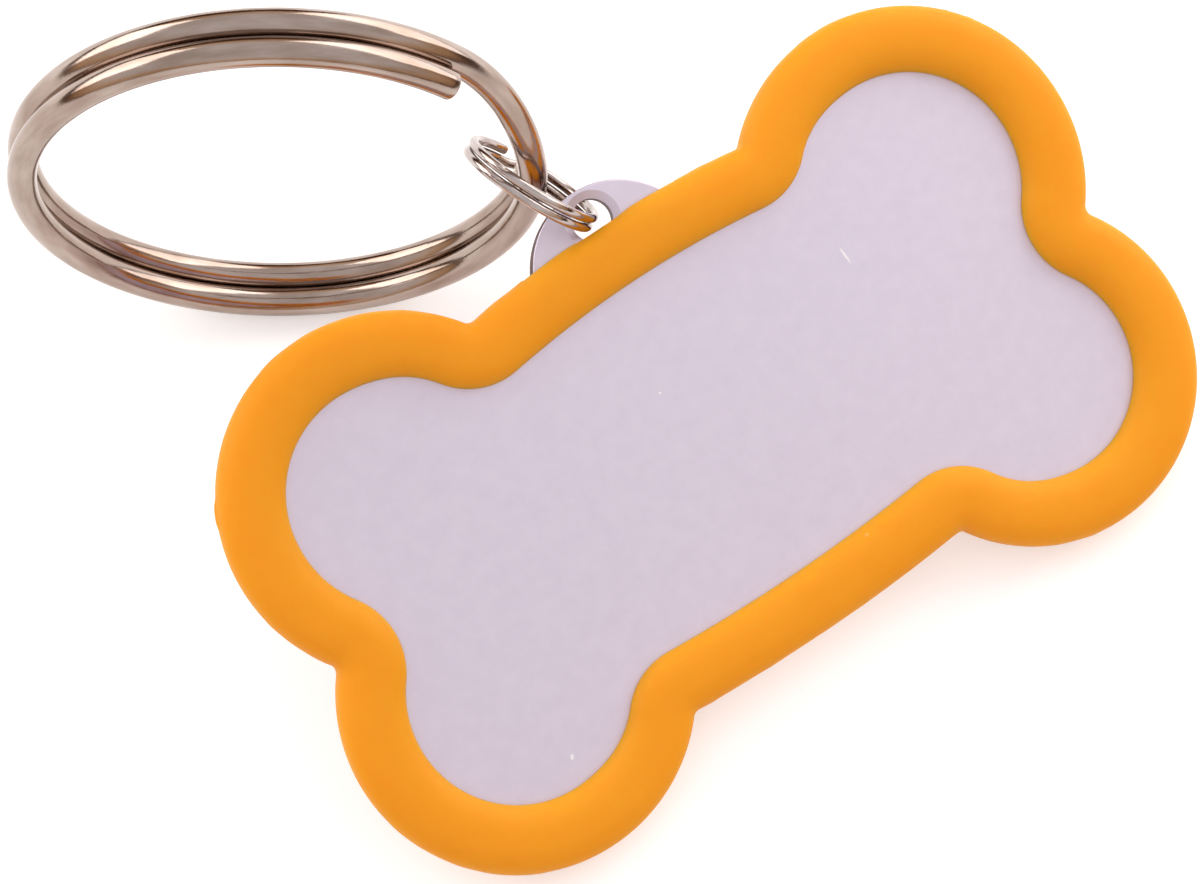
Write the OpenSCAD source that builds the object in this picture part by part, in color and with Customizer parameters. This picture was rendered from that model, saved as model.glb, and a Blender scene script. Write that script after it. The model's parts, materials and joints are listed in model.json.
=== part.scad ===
// Bone-shaped pet id tag: a metal blank in a silicone rim, with a small split link through its
// ear and a large split ring to clip on a collar. Millimetres, +Z up. It stands as it is put
// down on a table: on the two lower lobes of the rim and on the edge of the upright split ring.

/* [Bone outline] */
// Length over the rim, from lobe to lobe
tag_length = 50; // [44:1:58]
// Radius of each of the four lobes, over the rim
lobe_radius = 9.3; // [8.6:0.1:9.8]
// How far each lobe's centre lies from the tag's long middle line
lobe_offset = 5.75; // [5.2:0.1:6.4]
// Half the height of the waist at its middle, over the rim
waist_half = 11.8; // [11.4:0.1:12.2]
// Radius of the slight outward curve of the waist
waist_crown_radius = 71; // [50:1:120]
// Radius in the bottom of each notch between two arcs
notch_radius = 0.5; // [0.3:0.05:0.8]

/* [Silicone rim] */
// Width of the rim, seen from the front
rim_width = 3.35; // [2.8:0.05:3.8]
// How far the rim's crown stands in front of its parting line
rim_front = 1.3; // [1.1:0.05:1.9]
// How far the rim's back stands behind its parting line
rim_back = 1.9; // [1.6:0.05:2.3]
// Squareness of the rim's section: 2 is an ellipse
rim_squareness = 2.6; // [2:0.1:3]
// Depth of the groove that grips the blank
groove_depth = 1.2; // [0.8:0.1:1.5]
// Clearance between the blank and the groove
groove_clearance = 0.05; // [0.03:0.01:0.1]
// Clearance round the ear where it comes out through the rim
slit_clearance = 0.15; // [0.1:0.05:0.3]

/* [Metal blank] */
// Thickness of the blank
plate_thickness = 1; // [0.8:0.1:1.2]
// How far the middle of the blank lies behind the rim's parting line
plate_setback = 0.3; // [0:0.1:0.5]
// Radius of the ear's round end
ear_radius = 4.65; // [4.3:0.05:5]
// How far the ear's centre lies inside the rim's outer edge at the waist
ear_depth = 2.2; // [1.8:0.1:2.4]
// Radius of the hole in the ear
hole_radius = 1.1; // [1:0.05:1.2]
// How far the hole's centre lies outside the rim's outer edge at the waist
hole_reach = 0.75; // [0.6:0.05:0.9]
// Width of the bevel round the hole, on both faces
hole_bevel = 0.3; // [0.1:0.05:0.35]

/* [Split link] */
// Radius of the small link, to the middle of its wire
link_radius = 3.6; // [3.5:0.05:3.7]
// Diameter of the link's wire
link_wire = 0.5; // [0.4:0.05:0.55]
// Gap between the two turns of the link
link_turn_gap = 0.05; // [0.03:0.01:0.06]
// Lean of the link away from the line straight out through the ear, in degrees
link_lean = 28; // [20:0.1:32]
// Twist of the link about its own long line, in degrees
link_twist = 69; // [66:0.1:70]
// Where the link's first end lies, in degrees round it from its far side
link_first_end = 300; // [290:1:315]
// Where the link's second end lies, in degrees round it from its far side
link_second_end = 255; // [245:1:265]

/* [Split ring] */
// Radius of the split ring, to the middle of its wire
ring_radius = 12.8; // [12.4:0.1:13.4]
// Diameter of the ring's wire
ring_wire = 1.5; // [1.4:0.05:1.55]
// Gap between the two turns of the ring
ring_turn_gap = 0.05; // [0.03:0.01:0.08]
// Direction in which the ring's open face looks, in degrees from straight right
ring_facing = -120.9; // [-124:0.1:-118]
// Lean of the ring backwards from upright, in degrees
ring_lean = 3.6; // [2:0.1:5]
// Where the ring's near end lies, in degrees round it from its lowest point
ring_near_end = 135; // [128:1:142]
// Where the ring's hidden far end lies, in degrees round it from its lowest point
ring_far_end = 82; // [78:1:86]
// How far the ring passes behind the middle of the link
ring_in_link_back = 0.4; // [0.3:0.05:0.45]

/* [Stance] */
// Tilt of the tag's face from level, in degrees, with its ear raised
tag_tilt = 21; // [19:0.1:23]

/* [Hidden] */

// Colours
silicone_orange = [0.96, 0.6, 0.17];
satin_metal = [0.82, 0.79, 0.84];
nickel = [0.74, 0.7, 0.67];

// Fineness of curves: degrees between two points on an arc, sides round a wire or a bead
arc_step = 7;
waist_step = 0.8;
wire_sides = 12;
link_sides = 10;
bead_steps = 13;
ring_step = 5.4;
link_step = 8;
round_fn = 72;

// One overrun for every cut
overrun = 1;

// The ear and its hole, measured from the tag's long middle line
ear_offset = waist_half - ear_depth;
hole_offset = waist_half + hole_reach;

// Bone outline: centres of the arcs of one quarter, to the right and above the middle
lobe = [tag_length / 2 - lobe_radius, lobe_offset];
waist = [0, waist_half - waist_crown_radius];
reach = lobe_radius + notch_radius;
end_notch = [lobe.x + sqrt(reach * reach - lobe.y * lobe.y), 0];
waist_notch = meeting_point(waist, waist_crown_radius + notch_radius, lobe, reach);

// Angle of the line from one point to another
function bearing(from, to) = atan2(to.y - from.y, to.x - from.x);

// The upper of the two points that lie at distance ra from a and rb from b
function meeting_point(a, ra, b, rb) =
    let (gap = norm(b - a),
         along = (gap * gap + ra * ra - rb * rb) / (2 * gap),
         aside = sqrt(ra * ra - along * along),
         line = (b - a) / gap)
    a + along * line + aside * [-line.y, line.x];

// Edge places along one arc, each as [point on the outer edge, direction out of the bone].
// side is 1 on an arc that bulges out and -1 in a notch. The arc's last place is left out.
function arc_places(centre, radius, from, to, step, side) =
    let (count = max(2, ceil(abs(to - from) / step)))
    [for (i = [0 : count - 1])
        let (angle = from + (to - from) * i / count,
             line = [cos(angle), sin(angle)])
        [centre + radius * line, side * line]];

function mirrored(place) = [[-place[0].x, place[0].y], [-place[1].x, place[1].y]];

quarter = concat(
    arc_places(end_notch, notch_radius, 180, bearing(end_notch, lobe), arc_step, -1),
    arc_places(lobe, lobe_radius, bearing(lobe, end_notch), bearing(lobe, waist_notch), arc_step, 1),
    arc_places(waist_notch, notch_radius, bearing(waist_notch, lobe),
               bearing(waist_notch, waist), arc_step, -1),
    arc_places(waist, waist_crown_radius, bearing(waist, waist_notch), 90, waist_step, 1));
top_place = [[0, waist_half], [0, 1]];
upper_half = concat(quarter, [top_place],
    [for (i = [len(quarter) - 1 : -1 : 1]) mirrored(quarter[i])]);
bone_edge = concat(upper_half, [for (place = upper_half) -place]);

// The bone's outline, drawn in by a depth from the outer edge
function bone_outline(depth) = [for (place = bone_edge) place[0] - depth * place[1]];

// Rim section, as points [depth from the outer edge, height from the parting line]
half_width = rim_width / 2;
groove_top = plate_thickness / 2 + groove_clearance - plate_setback;
groove_bottom = -plate_thickness / 2 - groove_clearance - plate_setback;
groove_floor = rim_width - groove_depth;
function power(x) = sign(x) * pow(abs(x), 2 / rim_squareness);
function rim_reach(side) = side > 0 ? rim_front : rim_back;
function lip_angle(height) = asin(pow(abs(height) / rim_reach(height), rim_squareness / 2));
lip_start = lip_angle(groove_top);
lip_end = 360 - lip_angle(groove_bottom);
bead = concat(
    [for (i = [0 : bead_steps])
        let (angle = lip_start + (lip_end - lip_start) * i / bead_steps,
             side = power(sin(angle)))
        [half_width * (1 + power(cos(angle))), rim_reach(side) * side]],
    [[groove_floor, groove_bottom], [groove_floor, groove_top]]);

// How far the bead reaches from its middle in a direction given as shares of its two axes,
// with the height that it has on that side of the parting line
function bead_reach(width_share, height_share, height) =
    let (p = rim_squareness / (rim_squareness - 1))
    pow(pow(half_width * width_share, p) + pow(height * height_share, p), 1 / p);

// Stance: the lower lobes touch the table, and the ring stands on its edge beside them
lobe_line = lobe_offset + lobe_radius - half_width;
tag_rise = lobe_line * sin(tag_tilt) + bead_reach(sin(tag_tilt), cos(tag_tilt), rim_back);
tag_front = -lobe_line * cos(tag_tilt) - bead_reach(cos(tag_tilt), sin(tag_tilt), rim_front);
function stood(point) =
    [point.x,
     point.y * cos(tag_tilt) - point.z * sin(tag_tilt),
     point.y * sin(tag_tilt) + point.z * cos(tag_tilt) + tag_rise];

// The link lies in its own plane with its far side at +x, and the ear's hole at -x
ear_hole = [0, hole_offset, -plate_setback];
link_turn = 90 + link_lean;
link_middle = stood(ear_hole + link_radius * [cos(link_turn), sin(link_turn), 0]);

// The ring's own axes: down is +x, towards the link is +y, and its open face looks along +z
ring_pitch = ring_wire + ring_turn_gap;
ring_slope = 90 - ring_lean;
ring_axis = [sin(ring_slope) * cos(ring_facing), sin(ring_slope) * sin(ring_facing), cos(ring_slope)];
ring_down = [cos(ring_slope) * cos(ring_facing), cos(ring_slope) * sin(ring_facing), -sin(ring_slope)];
ring_side = [-sin(ring_facing), cos(ring_facing), 0];
ring_rise = ring_radius * sin(ring_slope) + ring_wire / 2 + ring_pitch / 2 * cos(ring_slope);

// The ring passes through the middle of the link at the height of that middle
ring_cross = link_middle - ring_in_link_back * ring_axis;
cross_angle = acos((ring_rise - ring_cross.z) / (ring_radius * sin(ring_slope)));
ring_middle = ring_cross
    - ring_radius * (cos(cross_angle) * ring_down + sin(cross_angle) * ring_side);
ring_back = ring_middle.y + ring_radius * sqrt(1 - ring_axis.y * ring_axis.y)
    + ring_wire / 2 + ring_pitch / 2 * abs(ring_axis.y);
middle_y = (tag_front + ring_back) / 2;

// Two turns of wire: centre of the wire at an angle, and the crosswise direction there.
// The wire lies in the front turn, steps back between its two ends, and goes on behind.
function turn_share(angle, step_from, step_to) =
    angle <= step_from ? 1
    : angle >= step_to ? -1
    : cos(180 * (angle - step_from) / (step_to - step_from));
function turn_slope(angle, step_from, step_to, pitch) =
    angle <= step_from || angle >= step_to ? 0
    : -pitch / 2 * sin(180 * (angle - step_from) / (step_to - step_from))
      * 180 / (step_to - step_from);
function wire_middle(angle, radius, pitch, step_from, step_to) =
    [radius * cos(angle), radius * sin(angle), pitch / 2 * turn_share(angle, step_from, step_to)];
function wire_cross(angle, radius, pitch, step_from, step_to) =
    let (slope = turn_slope(angle, step_from, step_to, pitch))
    [slope * sin(angle), -slope * cos(angle), radius] / norm([slope, radius]);

// The step is shorter than the space between the ends by this many wire diameters each end
step_margin_share = 0.35;

function wire_angles(first_end, second_end, step) =
    let (total = 720 + second_end - first_end,
         count = ceil(total / step))
    [for (i = [0 : count]) first_end + total * i / count];

// One round wire bent into a split ring: front turn from first_end, and on behind to second_end
module split_wire(radius, wire, gap, first_end, second_end, step, sides) {
    pitch = wire + gap;
    margin = step_margin_share * wire / radius * 180 / PI;
    step_from = second_end + 360 + margin;
    step_to = first_end + 360 - margin;
    angles = wire_angles(first_end, second_end, step);
    middles = [for (a = angles) wire_middle(a, radius, pitch, step_from, step_to)];
    points = [for (k = [0 : len(angles) - 1], j = [0 : sides - 1])
        let (a = angles[k], around = 360 * j / sides)
        middles[k] + wire / 2 * (cos(around) * [cos(a), sin(a), 0]
            + sin(around) * wire_cross(a, radius, pitch, step_from, step_to))];
    last = len(angles) - 1;
    skin = [for (k = [0 : last - 1], j = [0 : sides - 1])
        let (a = k * sides + j, b = k * sides + (j + 1) % sides)
        each [[a, b, b + sides], [a, b + sides, a + sides]]];
    first_cap = [for (j = [1 : sides - 2]) [0, j + 1, j]];
    last_cap = [for (j = [1 : sides - 2]) [0, j, j + 1] + last * sides * [1, 1, 1]];
    polyhedron(points, concat(skin, first_cap, last_cap), convexity = 6);
    // Least gap between the wire and the turn beside it, measured between its middle points
    per_turn = 360 / (angles[1] - angles[0]);
    least = min([for (i = [0 : last], k = [i : last])
        if (k - i > per_turn / 2) norm(middles[i] - middles[k])]) - wire;
    echo(least_gap_between_turns = least, wire = wire, points = len(points));
}

// Places what is drawn in the tag's own plane at its stance on the table
module on_table() {
    translate([0, -middle_y, tag_rise]) rotate([tag_tilt, 0, 0]) children();
}

// Metal blank: the bone that fills the groove, and the ear with its bevelled hole
module plate() {
    inset = groove_floor + groove_clearance;
    color(satin_metal) on_table() translate([0, 0, -plate_setback]) difference() {
        union() {
            linear_extrude(plate_thickness, center = true) polygon(bone_outline(inset));
            translate([0, ear_offset, 0])
                cylinder(h = plate_thickness, r = ear_radius, center = true, $fn = round_fn);
        }
        translate([0, hole_offset, 0]) {
            cylinder(h = plate_thickness + overrun, r = hole_radius, center = true, $fn = round_fn);
            for (face = [-1, 1])
                scale([1, 1, face])
                    translate([0, 0, plate_thickness / 2 - hole_bevel])
                        cylinder(h = 2 * hole_bevel, r1 = hole_radius,
                                 r2 = hole_radius + 2 * hole_bevel, $fn = round_fn);
        }
    }
}

// Silicone rim: one bead swept round the bone, with a slit where the ear comes out
module rim() {
    size = len(bead);
    count = len(bone_edge);
    points = [for (place = bone_edge, spot = bead)
        let (at = place[0] - spot.x * place[1])
        [at.x, at.y, spot.y]];
    faces = [for (k = [0 : count - 1], j = [0 : size - 1])
        let (a = k * size + j,
             b = k * size + (j + 1) % size,
             c = ((k + 1) % count) * size + j,
             d = ((k + 1) % count) * size + (j + 1) % size)
        each [[a, d, b], [a, c, d]]];
    slit_half = ear_radius + slit_clearance;
    slit_height = plate_thickness + 2 * slit_clearance;
    color(silicone_orange) on_table() difference() {
        polyhedron(points, faces, convexity = 8);
        translate([-slit_half, waist_half - groove_floor - groove_depth / 2,
                   -plate_setback - slit_height / 2])
            cube([2 * slit_half, groove_floor + groove_depth / 2 + overrun, slit_height]);
    }
}

// Small split link through the ear's hole
module split_link() {
    color(nickel) on_table() translate(ear_hole) rotate([link_twist, 0, link_turn])
        translate([link_radius, 0, 0])
            split_wire(link_radius, link_wire, link_turn_gap, link_first_end, link_second_end,
                       link_step, link_sides);
}

// Large split ring, upright on its edge, through the link
module split_ring() {
    color(nickel) translate(ring_middle - [0, middle_y, 0]) rotate([0, ring_slope, ring_facing])
        split_wire(ring_radius, ring_wire, ring_turn_gap, ring_near_end, ring_far_end,
                   ring_step, wire_sides);
}

echo(swing_point = stood(ear_hole) - [0, middle_y, 0], swing_axis = stood([0, 0, 1]) - stood([0, 0, 0]));
echo(ring_middle = ring_middle - [0, middle_y, 0], ring_axis = ring_axis, cross_angle = cross_angle);

plate();
rim();
split_link();
split_ring();
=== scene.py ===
"""Bone-shaped pet id tag: a satin metal blank in an orange silicone rim, a small nickel split link
through the ear of the blank, and a large nickel split ring to clip on a collar.

Sizes are in millimetres in the tag's own plane (x along the bone, y towards the ear, z to the
front) and are turned into metres where a mesh is made. The places of the pieces come from the
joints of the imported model.
"""

import json
import math

import bmesh
import bpy
from mathutils import Matrix, Vector, noise


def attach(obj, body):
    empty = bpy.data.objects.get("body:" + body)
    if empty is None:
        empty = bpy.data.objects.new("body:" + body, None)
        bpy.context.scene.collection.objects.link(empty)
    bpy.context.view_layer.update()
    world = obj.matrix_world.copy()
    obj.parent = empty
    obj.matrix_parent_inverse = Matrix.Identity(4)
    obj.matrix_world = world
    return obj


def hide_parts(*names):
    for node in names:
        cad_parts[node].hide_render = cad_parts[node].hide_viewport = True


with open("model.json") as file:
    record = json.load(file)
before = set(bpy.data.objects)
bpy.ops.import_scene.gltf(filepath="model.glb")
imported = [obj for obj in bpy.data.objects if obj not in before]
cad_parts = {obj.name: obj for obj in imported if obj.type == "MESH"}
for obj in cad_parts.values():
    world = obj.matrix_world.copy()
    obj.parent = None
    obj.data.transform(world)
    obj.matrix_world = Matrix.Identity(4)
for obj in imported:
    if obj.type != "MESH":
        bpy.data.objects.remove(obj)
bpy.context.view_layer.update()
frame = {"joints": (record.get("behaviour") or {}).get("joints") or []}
JOINTS = {joint["name"]: joint for joint in frame["joints"]}
MM = 0.001

# Bone outline, over the rim: arcs as centre x, centre y and radius, in turn round the bone.
# The moulded rim isn't quite even: its waists lean a little and its lobes differ slightly.
ARCS = {
    "upper_right_lobe": (15.6, 5.6, 9.4),
    "upper_waist": (2.52, -47.82, 60),
    "upper_left_lobe": (-15.75, 5.7, 9.24),
    "lower_left_lobe": (-15.82, -5.87, 9.17),
    "lower_waist": (-3.5, 87.94, 99.6),
    "lower_right_lobe": (16.0, -6.04, 9.0),
}
# How far the waist's edge is from the middle, and the round at the foot of each notch
WAIST_HALF = 11.8
NOTCH_RADIUS = 0.5
# How finely the outline is divided: in millimetres along it, and in degrees round a notch
EDGE_SPACING = 0.25
NOTCH_STEP = 4

# Silicone rim: its width, and how far it reaches to the front and the back of its parting line.
# Its section is a superellipse: at a squareness of 2 it would be an ellipse.
RIM_WIDTH = 3.35
RIM_FRONT = 1.3
RIM_BACK = 1.9
RIM_SQUARENESS = 2.6
RIM_SHARP_DEGREES = 35
BEAD_STEPS = 60
# The groove that grips the blank, and the slit for its ear, cut from a little outside the rim
GROOVE_DEPTH = 1.2
GROOVE_CLEARANCE = 0.05
SLIT_CLEARANCE = 0.15
SLIT_OVERSHOOT = 1
# The bead is a little wider on the lobes, from one distance along the bone to another
LOBE_EXTRA_WIDTH = 0.15
LOBE_START = 9
LOBE_END = 15
# The seat where the link swings past: its depth, half its width, the shares of that depth on the
# bead's front and back, and the height over which one turns into the other
LINK_ROOM = 0.24
LINK_ROOM_HALF_WIDTH = 1.6
LINK_ROOM_FRONT = 0.4
LINK_ROOM_BACK = 1
LINK_ROOM_BLEND = 0.4
# How far the bead's edge wavers, and over what length
RIM_WAVER = 0.04
RIM_WAVER_LENGTH = 9
RIM_WAVER_SEED = 3.1
# The mould's flash on the parting line: how proud, how wide and how long it is, and how much shows
FLASH_HEIGHT = 0.05
FLASH_WIDTH = 0.16
FLASH_LENGTH = 1.1
FLASH_AMOUNT = 0.35
FLASH_SEED = 7.7
# Burrs that the mould left on the rim's edge: centre x, centre y, length and height
BURRS = (
    (22.1, 12.63, 0.3, 0.11),
    (22.95, 11.5, 0.35, 0.12),
    (24.4, 8.95, 0.25, 0.08),
    (-24.2, 9.55, 0.7, 0.1),
)

# Metal blank: its middle lies behind the rim's parting line by its setback
PLATE_THICKNESS = 1.0
PLATE_SETBACK = 0.3
PLATE_EDGE = 0.09
PLATE_EDGE_STEPS = 3
PLATE_SHARP_DEGREES = 25
# The ear, how finely it is divided, and what is left free where it meets the bone, in degrees
EAR_RADIUS = 4.65
EAR_OFFSET = 9.6
EAR_STEP = 3
EAR_JOIN = 1
HOLE_RADIUS = 1.1
HOLE_OFFSET = 12.55
HOLE_BEVEL_WIDTH = 0.42
HOLE_BEVEL_DEPTH = 0.2
HOLE_SIDES = 64
# How squarely a face looks to the front or the back, from 0 to 1: the flat faces and the cut edge
FLAT_FROM = 0.999
CUT_BELOW = 0.3
# Pale marks on the blank's face: centre x, centre y, half length, half width and direction
FACE_MARKS = (
    (10.52, 4.3, 0.62, 0.07, -84),
    (-1.64, 3.22, 0.1, 0.07, 0),
    (-15.17, -10.13, 0.2, 0.12, 60),
    (2.82, -9.12, 0.12, 0.08, 20),
)
FACE_MARK_DEPTH = 0.2

# Split link: its ends, and how finely it is divided, are in degrees along its turns
LINK_RADIUS = 3.6
LINK_WIRE = 0.5
LINK_LEAN = 28
LINK_TWIST = 69
LINK_ENDS = (300, 255)
LINK_STEP = 3
LINK_SIDES = 24

# Split ring
RING_RADIUS = 12.8
RING_WIRE = 1.5
RING_ENDS = (135, 82)
RING_STEP = 1.5
RING_SIDES = 32

# Both split wires. The bevel of an end, and the room at the ends where the wire doesn't yet step
# from one turn to the other, are shares of the wire.
TURN_GAP = 0.05
END_BEVEL_SHARE = 0.06
END_BEVEL_STEPS = 4
STEP_MARGIN_SHARE = 0.35
WIRE_SHARP_DEGREES = 30

# Finishes: their pale and dark colours, how rough they are at their smoothest and dullest, and the
# strength and the depth of their bump
SILICONE_LIGHT = (0.9, 0.365, 0.01, 1)
SILICONE_DARK = (0.87, 0.325, 0.004, 1)
SILICONE_DUST = (0.95, 0.62, 0.28, 1)
SILICONE_DUST_SHARE = 0.5
SILICONE_ROUGHNESS = (0.48, 0.64)
SILICONE_BUMP = (0.25, 0.03)
SATIN_LIGHT = (0.76, 0.695, 0.8, 1)
SATIN_DARK = (0.7, 0.635, 0.74, 1)
SATIN_SPECK = (0.92, 0.9, 0.92, 1)
SATIN_ROUGHNESS = (0.42, 0.58)
SATIN_BUMP = (0.3, 0.012)
# The cut edge's colours are painted shade: the edge and the hole's wall are coloured dark to stand
# in for the shade that falls on them
CUT_SHADE_LIGHT = (0.17, 0.12, 0.12, 1)
CUT_SHADE_DARK = (0.09, 0.06, 0.06, 1)
CUT_ROUGHNESS = (0.36, 0.54)
CUT_BUMP = (0.4, 0.015)
# On the nickel, the rubbed patches move the colour over a part of the way from dark to pale, and
# the grain joins the drawn streaks by a share
NICKEL_TINT_RANGE = (-0.7, 1.7)
NICKEL_GRAIN_SHARE = 0.4
NICKEL_BUMP = (0.35, 0.02)
LINK_NICKEL_LIGHT = (0.58, 0.52, 0.5, 1)
LINK_NICKEL_DARK = (0.36, 0.3, 0.28, 1)
LINK_NICKEL_ROUGHNESS = (0.06, 0.16)
RING_NICKEL_LIGHT = (0.46, 0.375, 0.33, 1)
RING_NICKEL_DARK = (0.31, 0.23, 0.185, 1)
RING_NICKEL_ROUGHNESS = (0.08, 0.2)

# Camera, as the photograph was taken: where it aims, how far off it is and how it is turned
CAMERA_AIM = (-5.37, -4.974, 6.725)
CAMERA_DISTANCE = 178.8
CAMERA_AZIMUTH = -33.64
CAMERA_ELEVATION = 68.51
CAMERA_ROLL = 0.31
CAMERA_LENS = 105
CAMERA_SENSOR = 36
CAMERA_CLIP = (0.01, 20)

# Floor, in metres, and how much it glows where it is looked at
FLOOR_HALF = 1.5
FLOOR_COLOR = (0.8, 0.8, 0.8, 1)
FLOOR_GLOW = 0.4

# Soft boxes, low and near the object: to the right of the picture, and beyond the ring. Each has
# its azimuth, elevation, distance in metres, width and height in metres, and radiance.
SOFT_BOXES = {
    "right_softbox": (15, 27, 0.28, 0.33, 0.22, 2.45),
    "far_softbox": (122, 27, 0.46, 0.4, 0.28, 2.7),
}

# The room's colour along this way, from 0 at the level of the table to 1 overhead
ROOM_WAY = (-0.12, -0.12, 0.96)
ROOM_STRENGTH = 0.86
ROOM_STOPS = (
    (0.0, (0.1, 0.04, 0.02, 1)),
    (0.12, (0.15, 0.07, 0.04, 1)),
    (0.22, (0.8, 0.5, 0.28, 1)),
    (0.36, (0.9, 0.68, 0.5, 1)),
    (0.52, (1, 0.94, 0.93, 1)),
    (0.85, (1, 0.98, 1, 1)),
)


def metres(point):
    """A point in millimetres, as a vector in metres."""
    return Vector(point) * MM


def turned(angle, axis):
    """Rotation by an angle in degrees about an axis through the origin."""
    return Matrix.Rotation(math.radians(angle), 4, axis)


def heading(a, b):
    """Direction in degrees from one flat point to another."""
    return math.degrees(math.atan2(b[1] - a[1], b[0] - a[0]))


def place_of_tag():
    """The tag's plane, from the ear's hole, about which the link swings square to the tag."""
    hole = Vector(JOINTS["link_swing"]["pos_m"])
    front = Vector(JOINTS["link_swing"]["axis"]).normalized()
    tilt = math.degrees(math.atan2(-front.y, front.z))
    to_hole = metres((0, HOLE_OFFSET, -PLATE_SETBACK))
    return Matrix.Translation(hole) @ turned(tilt, "X") @ Matrix.Translation(-to_hole)


def place_of_ring():
    """The ring's own axes: x down, y towards the link and z out of its open face."""
    axis = Vector(JOINTS["ring_travel"]["axis"]).normalized()
    facing = math.degrees(math.atan2(axis.y, axis.x))
    slope = math.degrees(math.acos(axis.z))
    middle = Matrix.Translation(Vector(JOINTS["ring_travel"]["pos_m"]))
    return middle @ turned(facing, "Z") @ turned(slope, "Y")


def place_of_link():
    """The link's own axes: its far side at +x and the ear's hole at -x."""
    hole = Matrix.Translation(metres((0, HOLE_OFFSET, -PLATE_SETBACK)))
    out = Matrix.Translation(metres((LINK_RADIUS, 0, 0)))
    return TAG @ hole @ turned(90 + LINK_LEAN, "Z") @ turned(LINK_TWIST, "X") @ out


TAG = place_of_tag()
TAG_FRONT = TAG.to_3x3() @ Vector((0, 0, 1))
RING = place_of_ring()
LINK = place_of_link()


# Meshes


def add_object(name, data):
    """A new object in the scene."""
    thing = bpy.data.objects.new(name, data)
    bpy.context.scene.collection.objects.link(thing)
    return thing


def new_piece(name, points, faces, place, uvs=None):
    """A piece from points in millimetres in its own axes, with its mesh where its place says."""
    mesh = bpy.data.meshes.new(name)
    mesh.from_pydata([place @ metres(p) for p in points], [], faces)
    if uvs:
        layer = mesh.uv_layers.new(name="wire")
        for corner, uv in zip(layer.data, uvs):
            corner.uv = uv
    mesh.update()
    return add_object(name, mesh)


def shade(piece, sharp_degrees):
    """Smooth shading, with edges sharper than an angle kept crisp."""
    mesh = piece.data
    work = bmesh.new()
    work.from_mesh(mesh)
    bmesh.ops.recalc_face_normals(work, faces=work.faces)
    limit = math.radians(sharp_degrees)
    for edge in work.edges:
        edge.smooth = len(edge.link_faces) != 2 or edge.calc_face_angle() < limit
    for face in work.faces:
        face.smooth = True
    work.to_mesh(mesh)
    work.free()
    return piece


def loft_faces(rings, size, closed_along=False):
    """Faces between neighbouring closed rings of the same number of points."""
    last = rings if closed_along else rings - 1
    return [
        (
            k * size + j,
            k * size + (j + 1) % size,
            (k + 1) % rings * size + (j + 1) % size,
            (k + 1) % rings * size + j,
        )
        for k in range(last)
        for j in range(size)
    ]


# Bone outline


def meeting_point(a, reach_a, b, reach_b):
    """The point at given distances from a and b that lies on the right of the way from a to b."""
    gap = math.dist(a, b)
    along = (gap**2 + reach_a**2 - reach_b**2) / (2 * gap)
    aside = math.sqrt(reach_a**2 - along**2)
    line = ((b[0] - a[0]) / gap, (b[1] - a[1]) / gap)
    return (a[0] + along * line[0] + aside * line[1], a[1] + along * line[1] - aside * line[0])


def arc_places(centre, radius, start, end, step, side):
    """Places along an arc but for its last: each a point and the direction out of the bone."""
    count = max(2, math.ceil(abs(end - start) / step))
    for i in range(count):
        angle = math.radians(start + (end - start) * i / count)
        line = (math.cos(angle), math.sin(angle))
        point = (centre[0] + radius * line[0], centre[1] + radius * line[1])
        yield point, (side * line[0], side * line[1])


def bone_edge():
    """The whole outer edge of the rim, anticlockwise from the right-hand end's notch."""
    arcs = list(ARCS.values())
    notches = []
    for i, (bx, by, b_radius) in enumerate(arcs):
        ax, ay, a_radius = arcs[i - 1]
        reaches = (a_radius + NOTCH_RADIUS, b_radius + NOTCH_RADIUS)
        notches.append(meeting_point((ax, ay), reaches[0], (bx, by), reaches[1]))
    places = []
    for i, (x, y, radius) in enumerate(arcs):
        step = math.degrees(EDGE_SPACING / radius)
        before = notches[i]
        after = notches[(i + 1) % len(arcs)]
        previous = arcs[i - 1][:2]
        start = heading(before, previous)
        end = start - (start - heading(before, (x, y))) % 360
        places += arc_places(before, NOTCH_RADIUS, start, end, NOTCH_STEP, -1)
        start = heading((x, y), before)
        end = start + (heading((x, y), after) - start) % 360
        places += arc_places((x, y), radius, start, end, step, 1)
    return places


EDGE = bone_edge()


# Silicone rim


def superellipse(value):
    """The share of its half axis that the rim's section reaches, for a sine or a cosine."""
    return math.copysign(abs(value) ** (2 / RIM_SQUARENESS), value)


def rim_reach(side):
    """How far the bead reaches from its parting line to the front, or to the back."""
    return RIM_FRONT if side > 0 else RIM_BACK


def lip_angle(height):
    """Where round the bead's section its surface reaches a height, in degrees."""
    share = (abs(height) / rim_reach(height)) ** (RIM_SQUARENESS / 2)
    return math.degrees(math.asin(share))


def bead_section():
    """The rim's section: depth from the outer edge, height, and how near the parting line it is.

    The last two places are the floor of the groove, which has no parting line.
    """
    top = PLATE_THICKNESS / 2 + GROOVE_CLEARANCE - PLATE_SETBACK
    bottom = -PLATE_THICKNESS / 2 - GROOVE_CLEARANCE - PLATE_SETBACK
    floor = RIM_WIDTH - GROOVE_DEPTH
    start = lip_angle(top)
    end = 360 - lip_angle(bottom)
    section = []
    for i in range(BEAD_STEPS + 1):
        angle = math.radians(start + (end - start) * i / BEAD_STEPS)
        depth = RIM_WIDTH / 2 * (1 + superellipse(math.cos(angle)))
        side = superellipse(math.sin(angle))
        height = rim_reach(side) * side
        parting = math.exp(-((height / FLASH_WIDTH) ** 2)) if depth < RIM_WIDTH / 2 else 0
        section.append((depth, height, parting))
    return section + [(floor, bottom, None), (floor, top, None)]


def waver(point, length, seed):
    """A smooth random value from -1 to 1 that changes over a given length."""
    return noise.noise(Vector((point[0] / length, point[1] / length, seed)))


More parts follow.
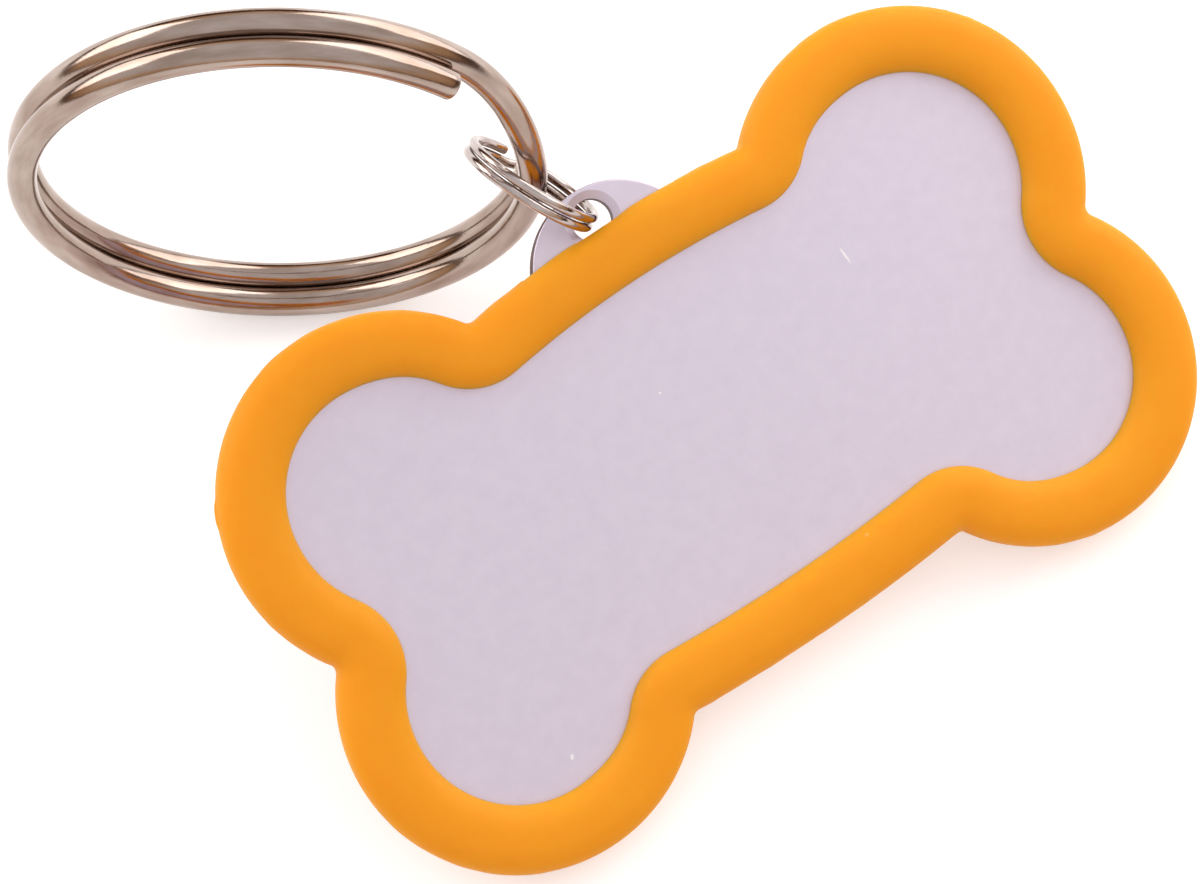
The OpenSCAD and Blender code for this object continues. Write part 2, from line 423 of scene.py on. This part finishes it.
def lobe_share(at):
    """0 on the waists and 1 on the lobes, with a soft change between."""
    share = min(1, max(0, (abs(at[0]) - LOBE_START) / (LOBE_END - LOBE_START)))
    return share * share * (3 - 2 * share)


def flash_height(at):
    """How far the mould's flash and its burrs stand proud of the rim's edge."""
    flash = FLASH_HEIGHT * max(0, waver(at, FLASH_LENGTH, FLASH_SEED) + FLASH_AMOUNT)
    burrs = sum(
        height * math.exp(-((math.dist(at, (x, y)) / length) ** 4))
        for x, y, length, height in BURRS
    )
    return flash + burrs


def link_room(at, height):
    """How far the rim's edge stands back where the link swings past, mostly on its back."""
    if at[1] < 0:
        return 0
    middle = (LINK_ROOM_BACK + LINK_ROOM_FRONT) / 2
    change = (LINK_ROOM_BACK - LINK_ROOM_FRONT) / 2
    share = middle - change * math.tanh(height / LINK_ROOM_BLEND)
    return LINK_ROOM * share * math.exp(-((at[0] / LINK_ROOM_HALF_WIDTH) ** 4))


def make_rim():
    """One bead swept round the bone, as soft as a moulded part is, with a slit for the ear."""
    section = bead_section()
    points = []
    for at, out in EDGE:
        swell = RIM_WAVER * waver(at, RIM_WAVER_LENGTH, RIM_WAVER_SEED)
        ridge = flash_height(at)
        extra = LOBE_EXTRA_WIDTH * lobe_share(at)
        for depth, height, parting in section:
            inner = 2 * depth / RIM_WIDTH - 1
            outer = 1 - depth / RIM_WIDTH
            lip = extra * max(0, inner) if parting is not None else 0
            move = (swell - link_room(at, height)) * outer + ridge * (parting or 0) - depth - lip
            points.append((at[0] + move * out[0], at[1] + move * out[1], height))
    faces = loft_faces(len(EDGE), len(section), closed_along=True)
    rim = new_piece("silicone_rim", points, faces, TAG)
    shade(rim, RIM_SHARP_DEGREES)
    cut_ear_slit(rim)
    return shade(rim, RIM_SHARP_DEGREES)


def cut_ear_slit(rim):
    """Cuts the slit through which the ear comes out of the rim's outer side."""
    half = EAR_RADIUS + SLIT_CLEARANCE
    height = PLATE_THICKNESS + 2 * SLIT_CLEARANCE
    low = WAIST_HALF - RIM_WIDTH + GROOVE_DEPTH / 2
    high = WAIST_HALF + SLIT_OVERSHOOT
    corners = [
        (x, y, z * height / 2 - PLATE_SETBACK)
        for x in (-half, half)
        for y in (low, high)
        for z in (-1, 1)
    ]
    faces = [(0, 1, 3, 2), (4, 6, 7, 5), (0, 4, 5, 1), (2, 3, 7, 6), (0, 2, 6, 4), (1, 5, 7, 3)]
    cutter = new_piece("ear_slit_cutter", corners, faces, TAG)
    bpy.context.view_layer.update()
    modifier = rim.modifiers.new("ear_slit", "BOOLEAN")
    modifier.operation = "DIFFERENCE"
    modifier.solver = "EXACT"
    modifier.object = cutter
    apply_modifiers(rim)
    bpy.data.objects.remove(cutter)


def apply_modifiers(piece):
    """Puts what the modifiers make of a piece into its mesh, and takes them off."""
    graph = bpy.context.evaluated_depsgraph_get()
    mesh = bpy.data.meshes.new_from_object(piece.evaluated_get(graph))
    piece.modifiers.clear()
    piece.data = mesh


# Metal blank


def blank_edge():
    """The blank's edge as places: the bone drawn in to the groove's floor, with the round ear."""
    inset = RIM_WIDTH - GROOVE_DEPTH + GROOVE_CLEARANCE
    bone = [((p[0] - inset * d[0], p[1] - inset * d[1]), d) for p, d in EDGE]
    ear = (0, EAR_OFFSET)
    outside = [place for place in bone if math.dist(place[0], ear) > EAR_RADIUS]
    upper = [place for place in outside if place[0][1] > 0]
    before = min((place for place in upper if place[0][0] > 0), key=lambda place: place[0][0])
    after = max((place for place in upper if place[0][0] < 0), key=lambda place: place[0][0])
    start = heading(ear, before[0]) + EAR_JOIN
    end = heading(ear, after[0]) % 360 - EAR_JOIN
    arc = list(arc_places(ear, EAR_RADIUS, start, end, EAR_STEP, 1))
    index = outside.index(before) + 1
    return outside[:index] + arc + outside[index:]


def edge_profile(half, edge):
    """How an edge rounds off from the back face to the front face, as inset and height."""
    front = []
    for i in range(PLATE_EDGE_STEPS + 1):
        angle = math.radians(90 * i / PLATE_EDGE_STEPS)
        front.append((edge * (1 - math.cos(angle)), half - edge * (1 - math.sin(angle))))
    return [(inset, -height) for inset, height in reversed(front)] + front


def hole_profile(half):
    """The wall of the ear's hole from back to front: its bevels and its straight bore."""
    wide, deep = HOLE_BEVEL_WIDTH, HOLE_BEVEL_DEPTH
    return [(wide, -half), (0, deep - half), (0, half - deep), (wide, half)]


def fill_face(work, loops):
    """Fills the flat face between closed loops, each given by its first point and its length."""
    edges = []
    for first, count in loops:
        for j in range(count):
            pair = (work.verts[first + j], work.verts[first + (j + 1) % count])
            edges.append(work.edges.get(pair) or work.edges.new(pair))
    bmesh.ops.triangle_fill(work, use_beauty=True, edges=edges)


def squareness(face):
    """1 for a face that looks straight to the tag's front or back, and 0 for its edge."""
    return abs(face.normal.dot(TAG_FRONT))


def make_blank():
    """Sheet blank with slightly rounded edges and a bevelled hole in its ear."""
    half = PLATE_THICKNESS / 2
    places = blank_edge()
    profile = edge_profile(half, PLATE_EDGE)
    wall = hole_profile(half)
    outer = [
        (p[0] - inset * d[0], p[1] - inset * d[1], height - PLATE_SETBACK)
        for inset, height in profile
        for p, d in places
    ]
    hole = [
        (
            (HOLE_RADIUS + widen) * math.cos(2 * math.pi * j / HOLE_SIDES),
            HOLE_OFFSET + (HOLE_RADIUS + widen) * math.sin(2 * math.pi * j / HOLE_SIDES),
            height - PLATE_SETBACK,
        )
        for widen, height in wall
        for j in range(HOLE_SIDES)
    ]
    hole_start = len(outer)
    outer_top = (len(profile) - 1) * len(places)
    hole_top = hole_start + (len(wall) - 1) * HOLE_SIDES
    faces = loft_faces(len(profile), len(places))
    faces += [tuple(hole_start + i for i in face) for face in loft_faces(len(wall), HOLE_SIDES)]
    blank = new_piece("metal_blank", outer + hole, faces, TAG)
    work = bmesh.new()
    work.from_mesh(blank.data)
    work.verts.ensure_lookup_table()
    fill_face(work, ((0, len(places)), (hole_start, HOLE_SIDES)))
    fill_face(work, ((outer_top, len(places)), (hole_top, HOLE_SIDES)))
    work.to_mesh(blank.data)
    work.free()
    shade(blank, PLATE_SHARP_DEGREES)
    for face in blank.data.polygons:
        face.use_smooth = squareness(face) < FLAT_FROM
    return blank


# Split wires


def turn_share(angle, step_from, step_to):
    """Where the wire lies between its front turn, 1, and its back turn, -1."""
    if angle <= step_from:
        return 1
    if angle >= step_to:
        return -1
    return math.cos(math.pi * (angle - step_from) / (step_to - step_from))


def wire_stations(radius, wire, ends, step):
    """Stations along a two-turn wire: the angle, and how far its section is drawn in there."""
    first_end, second_end = ends
    total = 2 * 360 + second_end - first_end
    count = math.ceil(total / step)
    bevel = END_BEVEL_SHARE * wire
    to_degrees = 180 / (math.pi * radius)
    start = []
    finish = []
    for i in range(END_BEVEL_STEPS):
        turn = math.pi / 2 * i / END_BEVEL_STEPS
        along = bevel * (1 - math.cos(turn)) * to_degrees
        inset = bevel * (1 - math.sin(turn))
        start.append((first_end + along, inset))
        finish.append((first_end + total - along, inset))
    inner = bevel * to_degrees
    middle = [(first_end + inner + (total - 2 * inner) * i / count, 0) for i in range(count + 1)]
    return start + middle + finish[::-1]


def wire_uvs(faces, lengths, sides):
    """For each corner of each face, its length along the wire and its share of the way round."""
    uvs = []
    for face in faces:
        seam = len(face) == 4 and face[0] % sides == sides - 1
        for corner in face:
            around = corner % sides
            around = sides if seam and around == 0 else around
            uvs.append((lengths[corner // sides], around / sides))
    return uvs


def make_split_wire(name, place, radius, wire, ends, step, sides):
    """One round wire bent into two turns, cut square at its ends with the edges broken."""
    margin = math.degrees(STEP_MARGIN_SHARE * wire / radius)
    step_from = ends[1] + 360 + margin
    step_to = ends[0] + 360 - margin

    def middle(angle):
        line = math.radians(angle)
        height = (wire + TURN_GAP) / 2 * turn_share(angle, step_from, step_to)
        return Vector((radius * math.cos(line), radius * math.sin(line), height))

    stations = wire_stations(radius, wire, ends, step)
    nudge = 0.1
    points = []
    for angle, inset in stations:
        at = middle(angle)
        along = (middle(angle + nudge) - middle(angle - nudge)).normalized()
        outward = Vector((math.cos(math.radians(angle)), math.sin(math.radians(angle)), 0))
        across = along.cross(outward).normalized()
        for j in range(sides):
            turn = 2 * math.pi * j / sides
            spread = math.cos(turn) * outward + math.sin(turn) * across
            points.append(at + (wire / 2 - inset) * spread)
    faces = loft_faces(len(stations), sides)
    faces += [tuple(reversed(range(sides))), tuple(range(len(points) - sides, len(points)))]
    lengths = [math.radians(angle) * radius for angle, _ in stations]
    piece = new_piece(name, points, faces, place, wire_uvs(faces, lengths, sides))
    return shade(piece, WIRE_SHARP_DEGREES)


# Materials


def feed(tree, value, socket):
    """Gives a socket a plain value, or links another node's output to it."""
    if isinstance(value, bpy.types.NodeSocket):
        tree.links.new(value, socket)
    else:
        socket.default_value = value


def add_node(tree, kind, inputs=None, **settings):
    """A shader node with its settings. Its inputs are plain values or other nodes' outputs."""
    node = tree.nodes.new(kind)
    for key, value in settings.items():
        setattr(node, key, value)
    for key, value in (inputs or {}).items():
        feed(tree, value, node.inputs[key])
    return node


def calculate(tree, operation, *operands, use_clamp=False):
    """What a math node makes of plain values or other nodes' outputs."""
    inputs = dict(enumerate(operands))
    node = add_node(tree, "ShaderNodeMath", inputs, operation=operation, use_clamp=use_clamp)
    return node.outputs["Value"]


def mixed(tree, kind, share, first, second):
    """The first of two colours or numbers at a share of 0, the second at a share of 1."""
    inputs = {"Factor": share, "A": first, "B": second}
    return add_node(tree, "ShaderNodeMix", inputs, data_type=kind).outputs["Result"]


def ranged(tree, value, low, high):
    """A value from 0 to 1 mapped to a range."""
    inputs = {"Value": value, "To Min": low, "To Max": high}
    return add_node(tree, "ShaderNodeMapRange", inputs).outputs["Result"]


def faded(tree, value, start, end):
    """1 up to one value, falling softly to 0 at another."""
    inputs = {"Value": value, "From Min": start, "From Max": end, "To Min": 1.0, "To Max": 0.0}
    node = add_node(tree, "ShaderNodeMapRange", inputs, interpolation_type="SMOOTHSTEP")
    return node.outputs["Result"]


def cloudy(tree, where, scale, detail, roughness=0.5):
    """A cloudy noise from 0 to 1."""
    inputs = {"Vector": where, "Scale": scale, "Detail": detail, "Roughness": roughness}
    return add_node(tree, "ShaderNodeTexNoise", inputs).outputs["Fac"]


def new_group(name, inputs, outputs):
    """A shader node group with named sockets: the group, what it is given and what it puts out."""
    group = bpy.data.node_groups.new(name, "ShaderNodeTree")
    for label, (kind, value) in inputs.items():
        socket = group.interface.new_socket(label, in_out="INPUT", socket_type=kind)
        if value is not None:
            socket.default_value = value
    for label, kind in outputs.items():
        group.interface.new_socket(label, in_out="OUTPUT", socket_type=kind)
    given = group.nodes.new("NodeGroupInput").outputs
    return group, given, group.nodes.new("NodeGroupOutput").inputs


def place_group(tree, group, **inputs):
    """The outputs of a group in a material, with this material's own inputs. _ is a space."""
    node = tree.nodes.new("ShaderNodeGroup")
    node.node_tree = group
    for key, value in inputs.items():
        feed(tree, value, node.inputs[key.replace("_", " ")])
    return node.outputs


VECTOR = "NodeSocketVector"
FLOAT = "NodeSocketFloat"
COLOR = "NodeSocketColor"


def build_mottle():
    """Soft uneven colour: two colours mixed by a cloudy noise."""
    inputs = {
        "Vector": (VECTOR, None),
        "Size": (FLOAT, 1.0),
        "Light Color": (COLOR, (1, 1, 1, 1)),
        "Dark Color": (COLOR, (0.8, 0.8, 0.8, 1)),
        "Contrast": (FLOAT, 1.0),
    }
    group, given, result = new_group("mottle", inputs, {"Color": COLOR})
    scale = calculate(group, "DIVIDE", 1.0, given["Size"])
    cloud = cloudy(group, given["Vector"], scale, detail=4.0, roughness=0.6)
    spread = calculate(group, "SUBTRACT", cloud, 0.5)
    share = calculate(group, "MULTIPLY_ADD", spread, given["Contrast"], 0.5, use_clamp=True)
    color = mixed(group, "RGBA", share, given["Dark Color"], given["Light Color"])
    feed(group, color, result["Color"])
    return group


def build_fine_grain():
    """Fine grain as a height: a noise with an even finer one on it."""
    inputs = {"Vector": (VECTOR, None), "Size": (FLOAT, 1.0), "Fine Share": (FLOAT, 0.4)}
    group, given, result = new_group("fine_grain", inputs, {"Height": FLOAT})
    times_finer = 3.7
    scale = calculate(group, "DIVIDE", 1.0, given["Size"])
    fine_scale = calculate(group, "MULTIPLY", scale, times_finer)
    coarse = cloudy(group, given["Vector"], scale, detail=3.0, roughness=0.55)
    fine = cloudy(group, given["Vector"], fine_scale, detail=2.0, roughness=0.7)
    feed(group, mixed(group, "FLOAT", given["Fine Share"], coarse, fine), result["Height"])
    return group


def build_flecks():
    """Sparse small specks, such as dust: a mask that is 1 in the middle of a few cells."""
    inputs = {
        "Vector": (VECTOR, None),
        "Spacing": (FLOAT, 1.0),
        "Radius Share": (FLOAT, 0.1),
        "Rarity": (FLOAT, 0.8),
    }
    group, given, result = new_group("flecks", inputs, {"Mask": FLOAT})
    scale = calculate(group, "DIVIDE", 1.0, given["Spacing"])
    where = {"Vector": given["Vector"], "Scale": scale}
    cells = add_node(group, "ShaderNodeTexVoronoi", where, feature="F1").outputs
    lot = add_node(group, "ShaderNodeSeparateColor", {"Color": cells["Color"]}).outputs["Red"]
    chosen = calculate(group, "GREATER_THAN", lot, given["Rarity"])
    dot = faded(group, cells["Distance"], start=0.0, end=given["Radius Share"])
    feed(group, calculate(group, "MULTIPLY", dot, chosen), result["Mask"])
    return group


def build_drawn_wire():
    """Marks that run along a drawn wire: streaks, and rubbed patches of some length."""
    inputs = {
        "UV": (VECTOR, None),
        "Wire Diameter": (FLOAT, 1.0),
        "Streak Length": (FLOAT, 8.0),
        "Patch Length": (FLOAT, 3.0),
    }
    group, given, result = new_group("drawn_wire", inputs, {"Streaks": FLOAT, "Patches": FLOAT})
    uv = add_node(group, "ShaderNodeSeparateXYZ", {"Vector": given["UV"]}).outputs
    diameters = calculate(group, "DIVIDE", uv["X"], given["Wire Diameter"])
    turn = calculate(group, "MULTIPLY", uv["Y"], 2 * math.pi)
    cosine = calculate(group, "COSINE", turn)
    sine = calculate(group, "SINE", turn)
    for marks, length, scale, detail in (
        ("Streaks", "Streak Length", 5.0, 3.0),
        ("Patches", "Patch Length", 1.3, 4.0),
    ):
        along = calculate(group, "DIVIDE", diameters, given[length])
        where = add_node(group, "ShaderNodeCombineXYZ", {"X": along, "Y": cosine, "Z": sine})
        feed(group, cloudy(group, where.outputs["Vector"], scale, detail), result[marks])
    return group


MOTTLE = build_mottle()
FINE_GRAIN = build_fine_grain()
FLECKS = build_flecks()
DRAWN_WIRE = build_drawn_wire()


def new_material(name, **surface):
    """A material with a principled surface, whose constant values are set on its own sockets."""
    material = bpy.data.materials.new(name)
    material.use_nodes = True
    shader = material.node_tree.nodes["Principled BSDF"]
    for key, value in surface.items():
        shader.inputs[key.replace("_", " ")].default_value = value
    return material, material.node_tree, shader


def give_surface(tree, shader, color, roughness, height, strength, depth):
    """Feeds a surface its colour, its roughness, and a height as bump of some depth."""
    inputs = {"Height": height, "Strength": strength, "Distance": depth * MM}
    bump = add_node(tree, "ShaderNodeBump", inputs)
    feed(tree, color, shader.inputs["Base Color"])
    feed(tree, roughness, shader.inputs["Roughness"])
    feed(tree, bump.outputs["Normal"], shader.inputs["Normal"])


def silicone():
    """Matte orange silicone: soft, slightly cloudy, with fine moulded grain and a little dust."""
    material, tree, shader = new_material(
        "orange_silicone",
        Specular_IOR_Level=0.25,
        Subsurface_Weight=0.6,
        Subsurface_Radius=(1.0, 0.45, 0.15),
        Subsurface_Scale=1.4 * MM,
    )
    where = add_node(tree, "ShaderNodeTexCoord").outputs["Object"]
    cloud = place_group(
        tree,
        MOTTLE,
        Vector=where,
        Size=4 * MM,
        Light_Color=SILICONE_LIGHT,
        Dark_Color=SILICONE_DARK,
        Contrast=1.4,
    )
    dust = place_group(
        tree, FLECKS, Vector=where, Spacing=1.9 * MM, Radius_Share=0.09, Rarity=0.93
    )
    grain = place_group(tree, FINE_GRAIN, Vector=where, Size=0.12 * MM, Fine_Share=0.35)
    faint_dust = calculate(tree, "MULTIPLY", dust["Mask"], SILICONE_DUST_SHARE)
    color = mixed(tree, "RGBA", faint_dust, cloud["Color"], SILICONE_DUST)
    roughness = ranged(tree, grain["Height"], *SILICONE_ROUGHNESS)
    give_surface(tree, shader, color, roughness, grain["Height"], *SILICONE_BUMP)
    return material


def face_mark(tree, where, x, y, length, width, direction):
    """A mask of one pale mark on the blank's face, an oval with a soft edge."""
    inputs = {
        "Vector": where,
        "Location": TAG @ metres((x, y, PLATE_THICKNESS / 2 - PLATE_SETBACK)),
        "Rotation": (TAG @ turned(direction, "Z")).to_euler(),
        "Scale": metres((length, width, FACE_MARK_DEPTH)),
    }
    oval = add_node(tree, "ShaderNodeMapping", inputs, vector_type="TEXTURE").outputs["Vector"]
    reach = add_node(tree, "ShaderNodeVectorMath", {0: oval}, operation="LENGTH")
    return faded(tree, reach.outputs["Value"], start=0.5, end=1.0)


def satin_metal():
    """Satin blank, lavender grey, with a faint mottled grain and a few pale specks."""
    material, tree, shader = new_material("satin_metal", Metallic=1.0)
    where = add_node(tree, "ShaderNodeTexCoord").outputs["Object"]
    cloud = place_group(
        tree,
        MOTTLE,
        Vector=where,
        Size=0.9 * MM,
        Light_Color=SATIN_LIGHT,
        Dark_Color=SATIN_DARK,
        Contrast=1.3,
    )
    specks = place_group(
        tree, FLECKS, Vector=where, Spacing=3.2 * MM, Radius_Share=0.03, Rarity=0.8
    )
    grain = place_group(tree, FINE_GRAIN, Vector=where, Size=0.16 * MM, Fine_Share=0.5)
    pale = specks["Mask"]
    for mark in FACE_MARKS:
        pale = calculate(tree, "MAXIMUM", face_mark(tree, where, *mark), pale)
    color = mixed(tree, "RGBA", pale, cloud["Color"], SATIN_SPECK)
    roughness = ranged(tree, grain["Height"], *SATIN_ROUGHNESS)
    give_surface(tree, shader, color, roughness, grain["Height"], *SATIN_BUMP)
    return material


def cut_edge_shade():
    """The sheared edge of the blank and the wall of its hole: dull with a torn grain, coloured
    dark as painted shade for the shade on them.
    """
    material, tree, shader = new_material("cut_edge_shade", Metallic=0.8)
    where = add_node(tree, "ShaderNodeTexCoord").outputs["Object"]
    cloud = place_group(
        tree,
        MOTTLE,
        Vector=where,
        Size=0.4 * MM,
        Light_Color=CUT_SHADE_LIGHT,
        Dark_Color=CUT_SHADE_DARK,
        Contrast=1.5,
    )
    grain = place_group(tree, FINE_GRAIN, Vector=where, Size=0.1 * MM, Fine_Share=0.5)
    roughness = ranged(tree, grain["Height"], *CUT_ROUGHNESS)
    give_surface(tree, shader, cloud["Color"], roughness, grain["Height"], *CUT_BUMP)
    return material


def nickel(name, wire, light, dark, roughness):
    """Nickel plate on drawn wire, with streaks along it, a fine grain and duller patches."""
    material, tree, shader = new_material(name, Metallic=1.0)
    where = add_node(tree, "ShaderNodeTexCoord").outputs["Object"]
    uv = add_node(tree, "ShaderNodeUVMap", uv_map="wire").outputs["UV"]
    marks = place_group(
        tree, DRAWN_WIRE, UV=uv, Wire_Diameter=wire, Streak_Length=9.0, Patch_Length=2.5
    )
    grain = place_group(tree, FINE_GRAIN, Vector=where, Size=0.2 * MM, Fine_Share=0.3)
    tint = ranged(tree, marks["Patches"], *NICKEL_TINT_RANGE)
    color = mixed(tree, "RGBA", tint, dark, light)
    dullness = ranged(tree, marks["Patches"], *roughness)
    grained = (grain["Height"], NICKEL_GRAIN_SHARE, marks["Streaks"])
    height = calculate(tree, "MULTIPLY_ADD", *grained)
    give_surface(tree, shader, color, dullness, height, *NICKEL_BUMP)
    return material


# The pieces and what each rides on


def dress(piece, material, body, node):
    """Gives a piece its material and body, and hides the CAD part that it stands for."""
    piece.data.materials.clear()
    piece.data.materials.append(material)
    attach(piece, body)
    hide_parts(node)


def build_tag():
    """The rim and the blank, which ride on the tag."""
    dress(make_rim(), silicone(), "tag", "rim")
    blank = make_blank()
    dress(blank, satin_metal(), "tag", "plate")
    # The edge faces and the hole's wall take the dark painted shade of the cut edge
    blank.data.materials.append(cut_edge_shade())
    for face in blank.data.polygons:
        face.material_index = 1 if squareness(face) < CUT_BELOW else 0


def build_link():
    """The split link, which swings in the ear's hole."""
    finish = nickel(
        "link_nickel", LINK_WIRE, LINK_NICKEL_LIGHT, LINK_NICKEL_DARK, LINK_NICKEL_ROUGHNESS
    )
    link = make_split_wire(
        "link_wire", LINK, LINK_RADIUS, LINK_WIRE, LINK_ENDS, LINK_STEP, LINK_SIDES
    )
    dress(link, finish, "link", "split_link")


def build_ring():
    """The split ring, which runs round through the link."""
    finish = nickel(
        "ring_nickel", RING_WIRE, RING_NICKEL_LIGHT, RING_NICKEL_DARK, RING_NICKEL_ROUGHNESS
    )
    ring = make_split_wire(
        "ring_wire", RING, RING_RADIUS, RING_WIRE, RING_ENDS, RING_STEP, RING_SIDES
    )
    dress(ring, finish, "ring", "split_ring")


# The studio


def build_camera():
    """A camera that stands where the photograph's stood."""
    camera = add_object("camera", bpy.data.cameras.new("camera"))
    camera.data.lens = CAMERA_LENS
    camera.data.sensor_width = CAMERA_SENSOR
    camera.data.clip_start, camera.data.clip_end = CAMERA_CLIP
    lift = turned(90 - CAMERA_ELEVATION, "X")
    look = turned(CAMERA_AZIMUTH, "Z") @ lift @ turned(CAMERA_ROLL, "Z")
    back = Matrix.Translation(metres((0, 0, CAMERA_DISTANCE)))
    camera.matrix_world = Matrix.Translation(metres(CAMERA_AIM)) @ look @ back
    bpy.context.scene.camera = camera


def seen_directly(tree):
    """1 where a camera, glossy or transmission ray looks, and 0 for all other light."""
    rays = add_node(tree, "ShaderNodeLightPath").outputs
    either = calculate(tree, "ADD", rays["Is Camera Ray"], rays["Is Glossy Ray"])
    return calculate(tree, "ADD", either, rays["Is Transmission Ray"], use_clamp=True)


def build_floor():
    """Plain pale floor, white where it is looked at, that still takes the object's shadow."""
    mesh = bpy.data.meshes.new("floor")
    half = FLOOR_HALF
    corners = [(-half, -half, 0), (half, -half, 0), (half, half, 0), (-half, half, 0)]
    mesh.from_pydata(corners, [], [(0, 1, 2, 3)])
    floor = add_object("floor", mesh)
    material = bpy.data.materials.new("pale_floor")
    material.use_nodes = True
    tree = material.node_tree
    tree.nodes.clear()
    matt = add_node(tree, "ShaderNodeBsdfDiffuse", {"Color": FLOOR_COLOR}).outputs["BSDF"]
    level = calculate(tree, "MULTIPLY", seen_directly(tree), FLOOR_GLOW)
    white = {"Color": (1, 1, 1, 1), "Strength": level}
    glow = add_node(tree, "ShaderNodeEmission", white).outputs["Emission"]
    both = add_node(tree, "ShaderNodeAddShader", {0: matt, 1: glow}).outputs["Shader"]
    add_node(tree, "ShaderNodeOutputMaterial", {"Surface": both})
    floor.data.materials.append(material)


def build_world():
    """A room that is pale overhead, tan lower down and dark brown at the level of the table."""
    world = bpy.data.worlds.new("pale_room")
    bpy.context.scene.world = world
    world.use_nodes = True
    tree = world.node_tree
    tree.nodes.clear()
    where = add_node(tree, "ShaderNodeTexCoord").outputs["Generated"]
    inputs = {0: where, 1: ROOM_WAY}
    height = add_node(tree, "ShaderNodeVectorMath", inputs, operation="DOT_PRODUCT")
    ramp = add_node(tree, "ShaderNodeValToRGB", {"Fac": height.outputs["Value"]})
    stops = ramp.color_ramp.elements
    stops.remove(stops[1])
    stops[0].position, stops[0].color = ROOM_STOPS[0]
    for place, color in ROOM_STOPS[1:]:
        stops.new(place).color = color
    inputs = {"Color": ramp.outputs["Color"], "Strength": ROOM_STRENGTH}
    sky = add_node(tree, "ShaderNodeBackground", inputs).outputs["Background"]
    add_node(tree, "ShaderNodeOutputWorld", {"Surface": sky})


def soft_box(name, azimuth, elevation, distance, width, height, radiance):
    """A soft box that looks at the object from an azimuth and an elevation, at one radiance."""
    data = bpy.data.lights.new(name, "AREA")
    data.shape = "RECTANGLE"
    data.size, data.size_y = width, height
    data.energy = radiance * math.pi * width * height
    look = turned(azimuth + 90, "Z") @ turned(90 - elevation, "X")
    add_object(name, data).matrix_world = look @ Matrix.Translation((0, 0, distance))


build_camera()
build_floor()
build_world()
for box, values in SOFT_BOXES.items():
    soft_box(box, *values)
build_tag()
build_link()
build_ring()
bpy.context.scene.view_settings.view_transform = "Standard"

bpy.context.view_layer.update()
